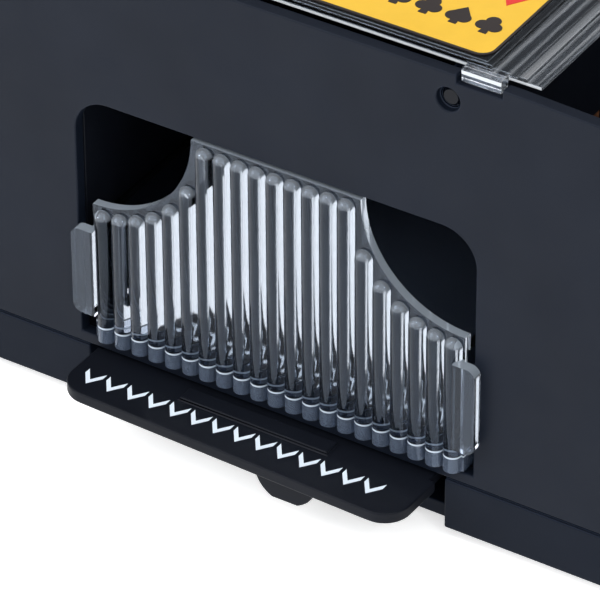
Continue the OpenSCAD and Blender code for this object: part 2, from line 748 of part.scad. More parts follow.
module battery_springs() {
    wire = 0.35;
    color([0.8, 0.8, 0.82]) seat() for (i = [0 : cell_n - 1]) cell_place(i)
        translate([0, contact_t + cell_l + wire + 0.03, 0]) rotate([-90, 0, 0])
            coil(3.4, wire, cell_spring_l - 2 * wire - 0.06, 3, 12, 5);
}

// ---- Drive ----
function involute(r, base) = r <= base ? 0 : sqrt(pow(r / base, 2) - 1) * 180 / PI - acos(base / r);
module gear_shape(teeth, phase) {
    press = 25;
    pitch = teeth * gear_m / 2;
    base = pitch * cos(press);
    tip = pitch + 0.82 * gear_m;
    root = pitch - 1.15 * gear_m;
    flank = max(base, root);
    radii = [root, flank, (2 * flank + tip) / 3, (flank + 2 * tip) / 3, tip];
    half_pitch = 90 / teeth - backlash / 2 / pitch * 180 / PI;
    function half(r) = half_pitch + involute(pitch, base) - involute(r, base);
    polygon([for (t = [0 : teeth - 1], k = [0 : 9])
        let (up = k < 5, r = radii[up ? k : 9 - k], a = phase + t * 360 / teeth + (up ? -1 : 1) * half(r))
        [r * cos(a), r * sin(a)]]);
}
// A gear's disc from y0 to y1, drawn in x and z
module gear(teeth, phase, y0, y1) { through(y0, y1) gear_shape(teeth, phase); }

module roller_shaft(s) {
    color(steel) seat() side(s) translate([roller_x, 0, roller_z])
        rod_y(shaft_r, bay_y0 + 0.4, near_y + gear_t);
}
module roller_hubs(s) {
    color([0.85, 0.85, 0.82]) seat() side(s) translate([roller_x, 0, roller_z]) for (y = tyre_y)
        difference() {
            rod_y(tyre_r - 2.5, y - tyre_w / 2, y + tyre_w / 2);
            rod_y(shaft_r, 0, body_d);
        }
}
module roller_tyres(s) {
    color([0.12, 0.12, 0.12]) seat() side(s) translate([roller_x, 0, roller_z]) for (y = tyre_y)
        difference() {
            rod_y(tyre_r, y - tyre_w / 2, y + tyre_w / 2);
            rod_y(tyre_r - 2.5, 0, body_d);
        }
}
module roller_gear(s) {
    color(nylon) seat() side(s) translate([roller_x, 0, roller_z]) difference() {
        gear(roller_teeth, train_angle, near_y, near_y + gear_t);
        rod_y(shaft_r, 0, body_d);
    }
}
module roller_bushings() {
    color(brass) seat() for (s = [-1, 1]) side(s) translate([roller_x, 0, roller_z]) difference() {
        union() {
            rod_y(bush_r, bay_y0, bay_y0 + bush_l);
            rod_y(bush_r, bay_y1 - 1.5, channel_y0);
        }
        rod_y(shaft_r + run_gap, bay_y0 - 1, channel_y0 + 1);
    }
}
module compound_gear(s) {
    color(nylon) seat() side(s) translate([comp_x, 0, comp_z]) difference() {
        union() {
            gear(small_teeth, train_angle + 180 + 180 / small_teeth, near_y, far_y + eps);
            gear(large_teeth, motor_angle, far_y, far_y + gear_t);
        }
        rod_y(axle_r + run_gap, 0, body_d);
    }
}
module gear_axles() {
    color(steel) seat() for (s = [-1, 1]) side(s) translate([comp_x, 0, comp_z])
        rod_y(axle_r, bay_y1 + 0.1, channel_y1);
}
module motor_pinion(s) {
    color([0.9, 0.9, 0.86]) seat() side(s) translate([motor_x, 0, motor_z]) union() {
        gear(pinion_teeth, motor_angle + 180 + 180 / pinion_teeth, far_y, far_y + gear_t);
        rod_y(motor_shaft_r, motor_y1 + 2.2, far_y + gear_t + 0.4);
    }
}
module motor(s) {
    color([0.68, 0.69, 0.71]) seat() side(s) translate([motor_x, 0, motor_z]) difference() {
        union() {
            intersection() {
                rod_y(motor_w / 2, motor_y0, motor_y1);
                span([-motor_w, 0, -motor_h / 2], [motor_w, body_d, motor_h / 2]);
            }
            rod_y(motor_nose_r, motor_y1 - eps, motor_y1 + 1.6);
            rod_y(motor_nose_r + 0.6, motor_y0 - 1.2, motor_y0 + eps);
        }
        rod_y(motor_shaft_r + run_gap, motor_y1 - 4, body_d);
    }
}
function strap_holes() = [motor_x - strap_out - strap_ear / 2, motor_x + strap_out + strap_ear / 2];
module motor_strap(s) {
    low = motor_z - motor_h / 2 - strap_t;
    color([0.6, 0.61, 0.63]) seat() side(s) difference() {
        union() {
            span([motor_x - strap_out, strap_y, low],
                [motor_x + strap_out, strap_y + strap_w, low + strap_t]);
            for (e = [-1, 1]) {
                x = motor_x + e * (strap_out - strap_t / 2);
                span([x - strap_t / 2, strap_y, low], [x + strap_t / 2, strap_y + strap_w, bay_under_z]);
                m = x + e * strap_ear / 2;
                half_ear = strap_ear / 2 + 0.2;
                span([m - half_ear, strap_y, bay_under_z - strap_t],
                    [m + half_ear, strap_y + strap_w, bay_under_z]);
            }
        }
        for (x = strap_holes()) translate([x, strap_y + strap_w / 2, bay_under_z - 3])
            cylinder(r = 1.15, h = 4);
    }
}
module strap_screws() {
    color([0.6, 0.6, 0.62]) seat() for (s = [-1, 1], x = strap_holes())
        translate([s * x, strap_y + strap_w / 2, bay_under_z - strap_t]) difference() {
            union() {
                translate([0, 0, -1.3]) cylinder(r = 2, h = 1.3);
                translate([0, 0, -1]) cylinder(r = 1, h = strap_t + 1 + bay_floor_t - 0.6);
            }
            for (a = [0, 90]) rotate(a) translate([-1.2, -0.25, -1.5]) cube([2.4, 0.5, 0.7]);
        }
}

// ---- Wires ----
function unit(v) = v / norm(v);
// Point on the smooth curve from b to c, whose neighbours are a and d
function between(a, b, c, d, t) = 0.5 * (2 * b + (c - a) * t + (2 * a - 5 * b + 4 * c - d) * pow(t, 2)
    + (3 * b - a - 3 * c + d) * pow(t, 3));
// Smooth curve through the points, n steps between each two
function curve(p, n) = [for (i = [0 : len(p) - 2], k = [0 : n - 1])
    between(p[max(i - 1, 0)], p[i], p[i + 1], p[min(i + 2, len(p) - 1)], k / n), p[len(p) - 1]];
function along(p, i) = unit(p[min(i + 1, len(p) - 1)] - p[max(i - 1, 0)]);
// A direction square to the path at each point, carried along it without twist
function across(p, i, u) = i >= len(p) ? [] :
    let (t = along(p, i), v = unit(u - (u * t) * t)) concat([v], across(p, i + 1, v));
module wire(points, steps = 4, sides = 8) {
    p = curve(points, steps);
    u = across(p, 0, [0.1, 0.2, 1]);
    n = len(p) - 1;
    ring = [for (i = [0 : n], k = [0 : sides - 1])
        let (a = k / sides * 360, w = cross(along(p, i), u[i]))
        p[i] + wire_r * (cos(a) * u[i] + sin(a) * w)];
    faces = [for (i = [0 : n - 1], k = [0 : sides - 1])
        let (j = i * sides + k, q = i * sides + (k + 1) % sides) [j, j + sides, q + sides, q]];
    seat() polyhedron(ring, concat([[for (k = [0 : sides - 1]) k]], faces,
        [[for (k = [sides - 1 : -1 : 0]) n * sides + k]]));
}
// From the first cell to the switch's moving leaf
module wire_switch() {
    x = cell_x(0);
    leaf_x = switch_x + leaf_w / 2 + wire_end_gap;
    leaf_z = base_floor + moving_leaf_z + leaf_t / 2;
    color(red) wire([[x, batt_y - wire_end_gap, cell_z], [x, batt_y - 3, cell_z],
        [x - 4, wire_front_y - 1.4, 7.4], [plate_out, wire_front_y - 1.2, 5.3],
        [plate_in - 4, wire_front_y - 1.2, 4.9], [switch_x + 6, tail_y - 1, 4.4],
        [leaf_x, tail_y - 0.75, leaf_z]]);
}
// From the switch's fixed leaf to a motor, which is led round the front of the rollers
module wire_motor(s) {
    x = switch_x + s * 1.1;
    turn_x = s > 0 ? switch_x + 5 : switch_x - 6;
    across_points = s > 0 ? [] : [[-10, tail_y + 3, 4.2], [-24, tail_y + 1, 4.6]];
    color(red) wire(concat([[x, tail_y + wire_end_gap, tail_z], [x, tail_y + 3, tail_z + 0.1],
        [turn_x, tail_y + 5, 4]], across_points,
        [for (q = [[plate_in - 4, wire_front_y + 1.8, 5], [plate_out - 1, wire_front_y + 1.3, 6],
            [plate_out + 2.6, wire_front_y - 0.6, 9.8], [plate_out + 9, 12, 15], [plate_out + 24, 11, 23],
            [plate_out + 31, 25, 33], [motor_x - 9, 48, 42], [motor_x - 6, end_y - 5, motor_z - 0.5],
            [motor_x - 6, end_y, motor_z]]) [s * q[0], q[1], q[2]]]));
}
// From the last cell to the right motor
module wire_return() {
    x = cell_x(cell_n - 1);
    color(black) wire([[x, batt_y - wire_end_gap, cell_z], [x, batt_y - 3.4, cell_z],
        [x - 2.6, batt_y - 5, 13],
        [x - 4, batt_y - 1.5, 26], [motor_x + 5, 45, 42], [motor_x + 6, end_y - 5, motor_z - 0.5],
        [motor_x + 6, end_y, motor_z]]);
}
// From motor to motor, under the deck
module wire_motor_link() {
    half = [[motor_x + 3.5, end_y, motor_z - 4.8], [motor_x + 3.5, end_y - 4, motor_z - 6],
        [motor_x, end_y - 3, 32], [motor_x - 7, end_y + 8, 24.5], [motor_x - 15, batt_y1 + 5.8, 15],
        [plate_out + 8, wire_back_y - 0.4, 7], [plate_in, wire_back_y, 5.8]];
    n = len(half) - 1;
    color(black) wire(concat(half, [for (k = [0 : n]) let (q = half[n - k]) [-q[0], q[1], q[2]]]));
}

upper_housing();
bay_floor(-1);  // bay_floor_left
bay_floor(1);  // bay_floor_right
gear_bulkhead();
base_shell();
battery_door();
base_screws();
rubber_feet();
tray_deck();
feed_plate(-1);  // feed_plate_left
feed_plate(1);  // feed_plate_right
feed_gate(-1);  // feed_gate_left
feed_gate(1);  // feed_gate_right
rear_cap();
top_cover();
cover_label();
card_tray();
flap_pins();
guide_flap(-1);  // guide_flap_left
guide_flap(1);  // guide_flap_right
press_lever();
lever_pin();
lever_spring();
switch_block();
switch_moving_leaf();
switch_fixed_leaf();
battery_cells();
battery_contacts();
battery_springs();
motor(-1);  // motor_left
motor(1);  // motor_right
motor_strap(-1);  // motor_strap_left
motor_strap(1);  // motor_strap_right
strap_screws();
motor_pinion(-1);  // motor_pinion_left
motor_pinion(1);  // motor_pinion_right
compound_gear(-1);  // compound_gear_left
compound_gear(1);  // compound_gear_right
gear_axles();
roller_bushings();
roller_shaft(-1);  // roller_shaft_left
roller_shaft(1);  // roller_shaft_right
roller_hubs(-1);  // roller_hubs_left
roller_hubs(1);  // roller_hubs_right
roller_tyres(-1);  // roller_tyres_left
roller_tyres(1);  // roller_tyres_right
roller_gear(-1);  // roller_gear_left
roller_gear(1);  // roller_gear_right
wire_switch();
wire_motor(-1);  // wire_motor_left
wire_motor(1);  // wire_motor_right
wire_return();
wire_motor_link();
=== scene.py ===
# Automatic card shuffler: looks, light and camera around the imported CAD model. Metres.
import json
import math

import bmesh
import bpy
from mathutils import Matrix, Vector


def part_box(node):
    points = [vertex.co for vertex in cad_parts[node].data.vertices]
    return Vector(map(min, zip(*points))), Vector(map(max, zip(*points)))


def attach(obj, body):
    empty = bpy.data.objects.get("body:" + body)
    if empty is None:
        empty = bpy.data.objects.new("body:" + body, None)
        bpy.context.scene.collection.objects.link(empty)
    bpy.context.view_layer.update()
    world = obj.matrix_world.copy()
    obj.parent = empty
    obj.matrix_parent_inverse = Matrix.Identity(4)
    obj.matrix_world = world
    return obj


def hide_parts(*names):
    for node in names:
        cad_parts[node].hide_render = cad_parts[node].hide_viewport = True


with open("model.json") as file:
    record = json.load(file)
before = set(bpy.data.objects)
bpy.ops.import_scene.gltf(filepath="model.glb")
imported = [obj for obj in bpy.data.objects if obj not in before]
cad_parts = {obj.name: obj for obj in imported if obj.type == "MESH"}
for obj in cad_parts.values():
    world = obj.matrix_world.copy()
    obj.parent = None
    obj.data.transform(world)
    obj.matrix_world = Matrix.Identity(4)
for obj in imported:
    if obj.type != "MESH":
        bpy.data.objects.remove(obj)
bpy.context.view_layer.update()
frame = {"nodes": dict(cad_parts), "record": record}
CAD = frame["nodes"]
MM = 0.001

# Places taken from the frame
house_lo, house_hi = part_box("upper_housing")
base_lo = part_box("base_shell")[0]
tray_lo, tray_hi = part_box("card_tray")
label_lo, label_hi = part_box("cover_label")
lever_lo, lever_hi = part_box("press_lever")
cells_lo, cells_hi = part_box("battery_cells")
wall_y = house_lo.y

# Places where the clear pieces are painted pale, as light and highlights
TRAY_FLOOR_Z = tray_lo.z + 3 * MM
TRAY_LINE_Z = (TRAY_FLOOR_Z - 0.3 * MM, TRAY_FLOOR_Z)
NOTCHES_Z = (TRAY_FLOOR_Z + 5 * MM, TRAY_FLOOR_Z + 5.1 * MM)
TRAY_FRONT_Y = (wall_y + 1.6 * MM, wall_y + 1.7 * MM)
RIBS_X = (tray_lo.x + 4.2 * MM, tray_hi.x - 4.2 * MM)
RIBS_Y = (wall_y - 1.7 * MM, wall_y - 0.05 * MM)
COVER_LINE_Z = (label_lo.z - 1.45 * MM, label_lo.z - 0.85 * MM)
COVER_PLATE_X = (label_lo.x - 1.3 * MM, label_hi.x + 1.3 * MM)
MASK_FADE = 0.03 * MM


# ---- Shader building ----
def new_material(name):
    """An empty node material, its tree and its main shader."""
    mat = bpy.data.materials.new(name)
    mat.use_nodes = True
    return mat, mat.node_tree, mat.node_tree.nodes["Principled BSDF"]


def add(tree, kind, **values):
    """A node, with its input sockets set by name, where _ stands for a space."""
    node = tree.nodes.new("ShaderNode" + kind)
    for key, value in values.items():
        node.inputs[key.replace("_", " ")].default_value = value
    return node


def noise(tree, scale, detail, stretch=(1, 1, 1)):
    """Noise in the piece's own coordinates, with scale in cells per metre."""
    coords = add(tree, "TexCoord")
    mapping = add(tree, "Mapping", Scale=stretch)
    texture = add(tree, "TexNoise", Scale=scale, Detail=detail)
    tree.links.new(coords.outputs["Object"], mapping.inputs["Vector"])
    tree.links.new(mapping.outputs["Vector"], texture.inputs["Vector"])
    return texture.outputs["Fac"]


def spread(tree, value, low, high, start, end):
    """value, from start to end, as a number from low to high."""
    node = add(tree, "MapRange", From_Min=start, From_Max=end, To_Min=low, To_Max=high)
    tree.links.new(value, node.inputs["Value"])
    return node.outputs["Result"]


def rise(tree, value, start, end):
    """0 up to start, 1 from end on."""
    return spread(tree, value, 0, 1, start, end)


def fall(tree, value, start, end):
    """1 up to start, 0 from end on."""
    return spread(tree, value, 1, 0, start, end)


def vary(tree, pattern, low=0, high=1):
    """The middle range of a noise pattern, as a number from low to high."""
    return spread(tree, pattern, low, high, 0.3, 0.7)


def both(tree, first, second):
    """The product of two masks."""
    node = tree.nodes.new("ShaderNodeMath")
    node.operation = "MULTIPLY"
    tree.links.new(first, node.inputs[0])
    tree.links.new(second, node.inputs[1])
    return node.outputs[0]


def between(tree, value, span):
    """1 inside a span, 0 outside it."""
    low, high = span
    return both(tree, rise(tree, value, low - MASK_FADE, low),
                fall(tree, value, high, high + MASK_FADE))


def axes(tree, kind, output):
    """The X, Y and Z sockets of a position or normal."""
    parts = tree.nodes.new("ShaderNodeSeparateXYZ")
    tree.links.new(add(tree, kind).outputs[output], parts.inputs["Vector"])
    return parts.outputs


def blend(tree, factor, first, second):
    """Mixes two colours; each is a colour or a socket."""
    node = tree.nodes.new("ShaderNodeMix")
    node.data_type = "RGBA"
    tree.links.new(factor, node.inputs["Factor"])
    for name, value in (("A", first), ("B", second)):
        socket = [s for s in node.inputs if s.name == name and s.type == "RGBA"][0]
        if isinstance(value, bpy.types.NodeSocket):
            tree.links.new(value, socket)
        else:
            socket.default_value = (*value, 1)
    return [s for s in node.outputs if s.type == "RGBA"][0]


def shade(colour, factor):
    return tuple(min(1, c * factor) for c in colour)


def paint(tree, shader, colour, rough):
    """Gives the main shader a colour and a roughness."""
    tree.links.new(colour, shader.inputs["Base Color"])
    tree.links.new(rough, shader.inputs["Roughness"])


def bump(tree, shader, height, strength, depth):
    node = add(tree, "Bump", Strength=strength, Distance=depth)
    tree.links.new(height, node.inputs["Height"])
    tree.links.new(node.outputs["Normal"], shader.inputs["Normal"])


def edge_mask(tree, radius):
    """1 on edges, 0 on open faces, from how far a rounded normal leaves the real one."""
    bevel = add(tree, "Bevel", Radius=radius)
    bevel.samples = 4
    plain = add(tree, "NewGeometry")
    dot = tree.nodes.new("ShaderNodeVectorMath")
    dot.operation = "DOT_PRODUCT"
    tree.links.new(bevel.outputs["Normal"], dot.inputs[0])
    tree.links.new(plain.outputs["Normal"], dot.inputs[1])
    return fall(tree, dot.outputs["Value"], 0.8, 0.99)


# ---- Materials ----
def moulded_plastic(name, colour, rough, specular, grain=0.12, highlight_gain=1.5):
    """Satin moulded plastic: fine tooled grain, faint flow clouds and edges painted lighter as a
    highlight.
    """
    mat, tree, shader = new_material(name)
    clouds = vary(tree, noise(tree, scale=45, detail=4))
    body = blend(tree, clouds, shade(colour, 0.9), shade(colour, 1.1))
    # Painted highlight: the edges get a lighter copy of the colour
    highlight_edges = edge_mask(tree, 0.35 * MM)
    smudge = vary(tree, noise(tree, scale=130, detail=5), rough - 0.05, rough + 0.05)
    paint(tree, shader, blend(tree, highlight_edges, body, shade(colour, highlight_gain)), smudge)
    shader.inputs["Specular IOR Level"].default_value = specular
    bump(tree, shader, noise(tree, scale=5200, detail=2), grain, 0.03 * MM)
    return mat


def clear_plastic(name, colour, places):
    """Clear polystyrene: slightly blue and glossy, painted pale in some places as light and
    highlights. Each place is a function that gives a mask, the painted light colour there and
    how clear the plastic stays."""
    mat, tree, shader = new_material(name)
    shader.inputs["IOR"].default_value = 1.53
    shader.inputs["Specular Tint"].default_value = (0.48, 0.58, 0.74, 1)
    body = blend(tree, vary(tree, noise(tree, scale=60, detail=2)), shade(colour, 0.97), colour)
    clarity = None
    where = axes(tree, "TexCoord", "Object")
    facing = axes(tree, "NewGeometry", "Normal")
    for place in places:
        spot = place(tree, where, facing)
        body = blend(tree, spot["mask"], body, spot["milk"])
        stays = spread(tree, spot["mask"], 1, spot["clear"], 0, 1)
        clarity = stays if clarity is None else both(tree, clarity, stays)
    tree.links.new(clarity, shader.inputs["Transmission Weight"])
    paint(tree, shader, body, vary(tree, noise(tree, scale=400, detail=3), 0.03, 0.07))
    return mat


def lit_edges(tree, where, facing):
    """Edges painted pale as a highlight, where light is caught."""
    return {"mask": edge_mask(tree, 0.2 * MM), "milk": (0.5, 0.54, 0.58), "clear": 0.45}


def tray_floor_glow(tree, where, facing):
    """The tray's floor, painted bluish pale as the light that it carries forward into the ribs'
    lower ends.
    """
    mask = fall(tree, where["Z"], TRAY_FLOOR_Z - 0.02 * MM, TRAY_FLOOR_Z)
    return {"mask": mask, "milk": (0.27, 0.34, 0.47), "clear": 0.82}


def tray_floor_line(tree, where, facing):
    """A highlight line painted along the top of the tray's floor."""
    mask = between(tree, where["Z"], TRAY_LINE_Z)
    return {"mask": mask, "milk": (0.5, 0.57, 0.66), "clear": 0.2}


def tray_top_edges(tree, where, facing):
    """The up-facing cut edges of the notches and ears and, more faintly, the ribs' domes,
    painted pale as light from above.
    """
    high = rise(tree, where["Z"], *NOTCHES_Z)
    front = fall(tree, where["Y"], *TRAY_FRONT_Y)
    up = both(tree, high, rise(tree, facing["Z"], 0.1, 0.4))
    ribs = both(tree, between(tree, where["Y"], RIBS_Y), between(tree, where["X"], RIBS_X))
    mask = both(tree, both(tree, up, front), spread(tree, ribs, 1, 0.5, 0, 1))
    return {"mask": mask, "milk": (0.33, 0.38, 0.44), "clear": 0.4}


def cover_front_line(tree, where, facing):
    """A highlight painted on the lower half of the cover's front edge."""
    ahead = fall(tree, facing["Y"], -0.9, -0.5)
    mask = both(tree, ahead, between(tree, where["Z"], COVER_LINE_Z))
    return {"mask": mask, "milk": (0.62, 0.65, 0.68), "clear": 0.2}


def cover_flange_highlights(tree, where, facing):
    """Pale streaks painted along the cover's up-facing flanges, beside the label, as highlights.
    """
    up = rise(tree, facing["Z"], 0.5, 0.9)
    beside = fall(tree, between(tree, where["X"], COVER_PLATE_X), 0, 1)
    lines = rise(tree, noise(tree, scale=900, detail=3, stretch=(1, 0.012, 1)), 0.44, 0.66)
    mask = both(tree, both(tree, up, beside), lines)
    return {"mask": mask, "milk": (0.4, 0.41, 0.43), "clear": 0.62}


def vinyl(name, colour, specular=0.5):
    """Printed glossy vinyl: faint mottling and small creases."""
    mat, tree, shader = new_material(name)
    mottle = vary(tree, noise(tree, scale=240, detail=5))
    paint(tree, shader, blend(tree, mottle, shade(colour, 0.94), colour),
          vary(tree, noise(tree, scale=90, detail=3), 0.28, 0.42))
    shader.inputs["Specular IOR Level"].default_value = specular
    bump(tree, shader, noise(tree, scale=110, detail=3, stretch=(1, 2.2, 1)), 0.25, 0.2 * MM)
    return mat


def metal(name, colour, rough, along=(1, 1, 1)):
    """Drawn or plated metal, brushed along one direction."""
    mat, tree, shader = new_material(name)
    shader.inputs["Metallic"].default_value = 1
    lines = noise(tree, scale=900, detail=4, stretch=along)
    paint(tree, shader, blend(tree, vary(tree, lines), shade(colour, 0.86), colour),
          vary(tree, lines, rough - 0.06, rough + 0.1))
    bump(tree, shader, lines, 0.15, 0.02 * MM)
    return mat


def rubber(name, colour):
    """Matt rubber with dust in its fine texture."""
    mat, tree, shader = new_material(name)
    dust = rise(tree, noise(tree, scale=700, detail=6), 0.45, 0.75)
    paint(tree, shader, blend(tree, dust, colour, shade(colour, 1.9)),
          vary(tree, noise(tree, scale=300, detail=3), 0.7, 0.9))
    shader.inputs["Specular IOR Level"].default_value = 0.25
    bump(tree, shader, noise(tree, scale=2600, detail=4), 0.4, 0.06 * MM)
    return mat


def nylon(name, colour):
    """Natural nylon gears: slightly translucent, waxy."""
    mat, tree, shader = new_material(name)
    tone = vary(tree, noise(tree, scale=150, detail=3))
    paint(tree, shader, blend(tree, tone, shade(colour, 0.93), colour),
          vary(tree, noise(tree, scale=500, detail=3), 0.38, 0.52))
    shader.inputs["Subsurface Weight"].default_value = 0.15
    shader.inputs["Subsurface Scale"].default_value = 0.8 * MM
    bump(tree, shader, noise(tree, scale=3000, detail=2), 0.1, 0.03 * MM)
    return mat


def cell_sleeve(name, colour, band, band_y):
    """A dry cell's printed sleeve: a dark body and, beyond band_y, a copper-coloured band."""
    mat, tree, shader = new_material(name)
    edge = rise(tree, axes(tree, "TexCoord", "Object")["Y"], band_y - 0.1 * MM, band_y)
    body = blend(tree, vary(tree, noise(tree, scale=300, detail=3)), shade(colour, 0.85), colour)
    paint(tree, shader, blend(tree, edge, body, band),
          vary(tree, noise(tree, scale=200, detail=3), 0.25, 0.4))
    shader.inputs["Metallic"].default_value = 0.35
    return mat


def floor_paper(name):
    """White paper that glows a little, so that it stays white around the piece."""
    mat, tree, shader = new_material(name)
    tone = vary(tree, noise(tree, scale=6, detail=3))
    sheet = blend(tree, tone, (0.93, 0.935, 0.94), (0.95, 0.95, 0.95))
    tree.links.new(sheet, shader.inputs["Base Color"])
    tree.links.new(sheet, shader.inputs["Emission Color"])
    shader.inputs["Emission Strength"].default_value = 0.6
    shader.inputs["Roughness"].default_value = 0.8
    shader.inputs["Specular IOR Level"].default_value = 0.2
    return mat


FINISH = {
    "housing": moulded_plastic("charcoal_abs", (0.005, 0.0076, 0.0142), 0.5, 0.105, highlight_gain=3),
    "base": moulded_plastic("dark_abs", (0.0035, 0.006, 0.0122), 0.5, 0.08, highlight_gain=2.5),
    "lever": moulded_plastic("lever_plastic", (0.005, 0.0062, 0.0098), 0.45, 0.09),
    "clear": clear_plastic("clear_polystyrene", (0.62, 0.66, 0.71),
                           [lit_edges, cover_front_line, cover_flange_highlights]),
    "pin": moulded_plastic("glossy_black_pin", (0.003, 0.004, 0.007), 0.13, 0.13, grain=0.02),
    "label": vinyl("yellow_label", (0.7, 0.42, 0.03)),
    "ink": vinyl("dark_ink", (0.025, 0.019, 0.018), 0.3),
    "red_ink": vinyl("red_ink", (0.6, 0.03, 0.025), 0.4),
    "white_ink": vinyl("white_ink", (0.72, 0.8, 0.88), 0.3),
    "rubber": rubber("black_rubber", (0.012, 0.012, 0.013)),
    "gate_rubber": rubber("brown_rubber", (0.075, 0.03, 0.012)),
    "steel": metal("bright_steel", (0.62, 0.63, 0.65), 0.26, (1, 0.06, 1)),
    "motor_can": metal("plated_can", (0.5, 0.51, 0.53), 0.34, (1, 0.1, 1)),
    "brass": metal("bronze", (0.7, 0.48, 0.22), 0.3),
    "gear": nylon("natural_nylon", (0.8, 0.78, 0.7)),
    "cell": cell_sleeve("cell_sleeve", (0.03, 0.045, 0.07), (0.55, 0.3, 0.12),
                        (cells_lo.y + cells_hi.y) / 2 + 11 * MM),
    "wire_red": vinyl("red_sleeve", (0.42, 0.012, 0.01)),
    "wire_black": vinyl("black_sleeve", (0.012, 0.012, 0.013)),
}
# Nodes that look different from the rest of their slot
SPECIAL = {
    "card_tray": clear_plastic("clear_tray", (0.46, 0.505, 0.57),
                               [tray_floor_glow, tray_floor_line, tray_top_edges]),
    # The deck and feed plates inside the opening take the lever's darker plastic, as painted
    # shade
    "tray_deck": FINISH["lever"],
    "feed_plate_left": FINISH["lever"],
    "feed_plate_right": FINISH["lever"],
}


# ---- Finish of the CAD nodes ----
def smoothing_group(angle):
    """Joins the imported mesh's split points and shades it smooth up to an angle."""
    group = bpy.data.node_groups.new("smooth_faces", "GeometryNodeTree")
    group.interface.new_socket("Geometry", in_out="INPUT", socket_type="NodeSocketGeometry")
    group.interface.new_socket("Geometry", in_out="OUTPUT", socket_type="NodeSocketGeometry")
    source = group.nodes.new("NodeGroupInput")
    target = group.nodes.new("NodeGroupOutput")
    drop = group.nodes.new("GeometryNodeRemoveAttribute")
    drop.inputs["Name"].default_value = "custom_normal"
    merge = group.nodes.new("GeometryNodeMergeByDistance")
    merge.inputs["Distance"].default_value = 0.001 * MM
    smooth = group.nodes.new("GeometryNodeSetShadeSmooth")
    crease = group.nodes.new("GeometryNodeSetShadeSmooth")
    crease.domain = "EDGE"
    crease.inputs["Shade Smooth"].default_value = False
    bend = group.nodes.new("GeometryNodeInputMeshEdgeAngle")
    sharp = group.nodes.new("FunctionNodeCompare")
    sharp.data_type = "FLOAT"
    sharp.operation = "GREATER_THAN"
    sharp.inputs["B"].default_value = angle
    links = group.links
    links.new(source.outputs[0], drop.inputs["Geometry"])
    links.new(drop.outputs["Geometry"], merge.inputs["Geometry"])
    links.new(merge.outputs["Geometry"], smooth.inputs["Geometry"])
    links.new(smooth.outputs["Geometry"], crease.inputs["Geometry"])
    links.new(bend.outputs["Unsigned Angle"], sharp.inputs["A"])
    links.new(sharp.outputs["Result"], crease.inputs["Selection"])
    links.new(crease.outputs["Geometry"], target.inputs[0])
    return group


SMOOTH = smoothing_group(math.radians(32))
# Nodes whose moulded edges show, by the radius of those edges
EDGES = {
    0.3 * MM: ("upper_housing", "base_shell", "press_lever", "rubber_feet"),
    0.2 * MM: ("rear_cap", "feed_plate_left", "feed_plate_right", "guide_flap_left",
               "guide_flap_right", "bay_floor_left", "bay_floor_right", "gear_bulkhead"),
    0.18 * MM: ("top_cover",),
}


def round_edges(obj, radius):
    """Joins flat neighbours into whole faces, then rounds the edges between them."""
    flat = obj.modifiers.new("flat_faces", "DECIMATE")
    flat.decimate_type = "DISSOLVE"
    flat.angle_limit = math.radians(0.3)
    bevel = obj.modifiers.new("edges", "BEVEL")
    bevel.width = radius
    bevel.segments = 2
    bevel.limit_method = "ANGLE"
    bevel.angle_limit = math.radians(40)
    bevel.use_clamp_overlap = False
    bevel.harden_normals = True


def finish_nodes():
    """Gives each CAD node its material, smooth shading and rounded edges."""
    slots = {s["node"]: s["material_slot"] for s in frame["record"]["subparts"]}
    radii = {name: radius for radius, names in EDGES.items() for name in names}
    for name, obj in CAD.items():
        obj.data.materials.clear()
        obj.data.materials.append(SPECIAL.get(name, FINISH[slots[name]]))
        obj.modifiers.new("smooth", "NODES").node_group = SMOOTH
        if name in radii:
            round_edges(obj, radii[name])


# ---- New pieces ----
def piece(name, mesh_builder, finish, body):
    """A new object whose bmesh is made by mesh_builder, finished and carried by a body."""
    mesh = bpy.data.meshes.new(name)
    bm = bmesh.new()
    mesh_builder(bm)
    bmesh.ops.recalc_face_normals(bm, faces=bm.faces)
    bm.to_mesh(mesh)
    bm.free()
    mesh.materials.append(FINISH[finish])
    obj = bpy.data.objects.new(name, mesh)
    bpy.context.scene.collection.objects.link(obj)
    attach(obj, body)
    return obj


def prism(bm, outline, z0, z1):
    """A closed plate: the outline, a list of (x, y), from height z0 to z1."""
    low = [bm.verts.new((x, y, z0)) for x, y in outline]
    high = [bm.verts.new((x, y, z1)) for x, y in outline]
    bm.faces.new(low[::-1])
    bm.faces.new(high)
    for i in range(len(outline)):
        j = (i + 1) % len(outline)
        bm.faces.new((low[i], low[j], high[j], high[i]))


def close_loops(bm, loops):
    """Faces between each loop of points and the next one, and from the last to the first."""
    count = len(loops[0])
    for a, b in zip(loops, loops[1:] + loops[:1]):
        for i in range(count):
            j = (i + 1) % count
            bm.faces.new((a[i], a[j], b[j], b[i]))


def ring(bm, outer, inner, z0, z1):
    """A closed flat frame between two outlines with the same number of points."""
    close_loops(bm, [[bm.verts.new((x, y, z)) for x, y in line]
                     for line, z in ((outer, z0), (outer, z1), (inner, z1), (inner, z0))])


def rounded_box(x0, y0, x1, y1, radius, steps=8):
    """Outline of a rectangle with round corners."""
    points = []
    for cx, cy, start in ((x1 - radius, y1 - radius, 0), (x0 + radius, y1 - radius, 90),
                          (x0 + radius, y0 + radius, 180), (x1 - radius, y0 + radius, 270)):
        for k in range(steps + 1):
            a = math.radians(start + 90 * k / steps)
            points.append((cx + radius * math.cos(a), cy + radius * math.sin(a)))
    return points


def circle_reach(cx, cy, radius):
    """Distance from the origin to a circle around it, by direction."""
    def reach(a):
        along = cx * math.cos(a) + cy * math.sin(a)
        return along + math.sqrt(max(0, along ** 2 - cx ** 2 - cy ** 2 + radius ** 2))
    return reach


